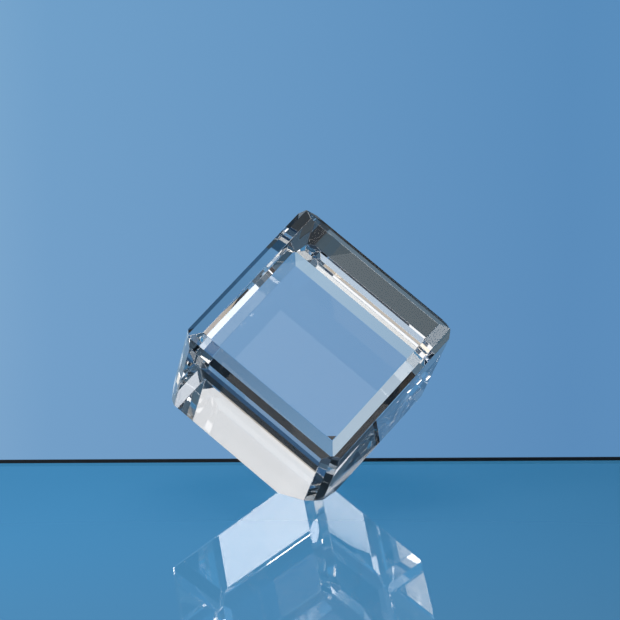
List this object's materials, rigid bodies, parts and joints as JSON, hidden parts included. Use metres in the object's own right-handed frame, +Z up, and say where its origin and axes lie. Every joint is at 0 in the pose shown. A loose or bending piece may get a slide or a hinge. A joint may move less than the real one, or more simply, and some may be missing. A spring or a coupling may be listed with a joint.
{
  "type": "standing crystal cube",
  "caption": "Solid clear crystal cube with two-flat bevels on its edges, standing on one ground-off corner, front face leaning back; a paperweight or award.",
  "frame": {"origin": "on the plane of the foot, z = 0, under the middle of the bounding box in x and y", "axes": "+Z up, square to the foot; -Y is the front, where the large front face looks, leaning back 30 degrees; +X to the right of someone who faces the front"},
  "size_m": [0.0794, 0.088, 0.0895],
  "materials": {
    "optical_crystal": "clear colourless crystal, every face ground flat and polished"
  },
  "bodies": {
    "root": {"crystal_block": "optical_crystal"}
  },
  "joints": []
}
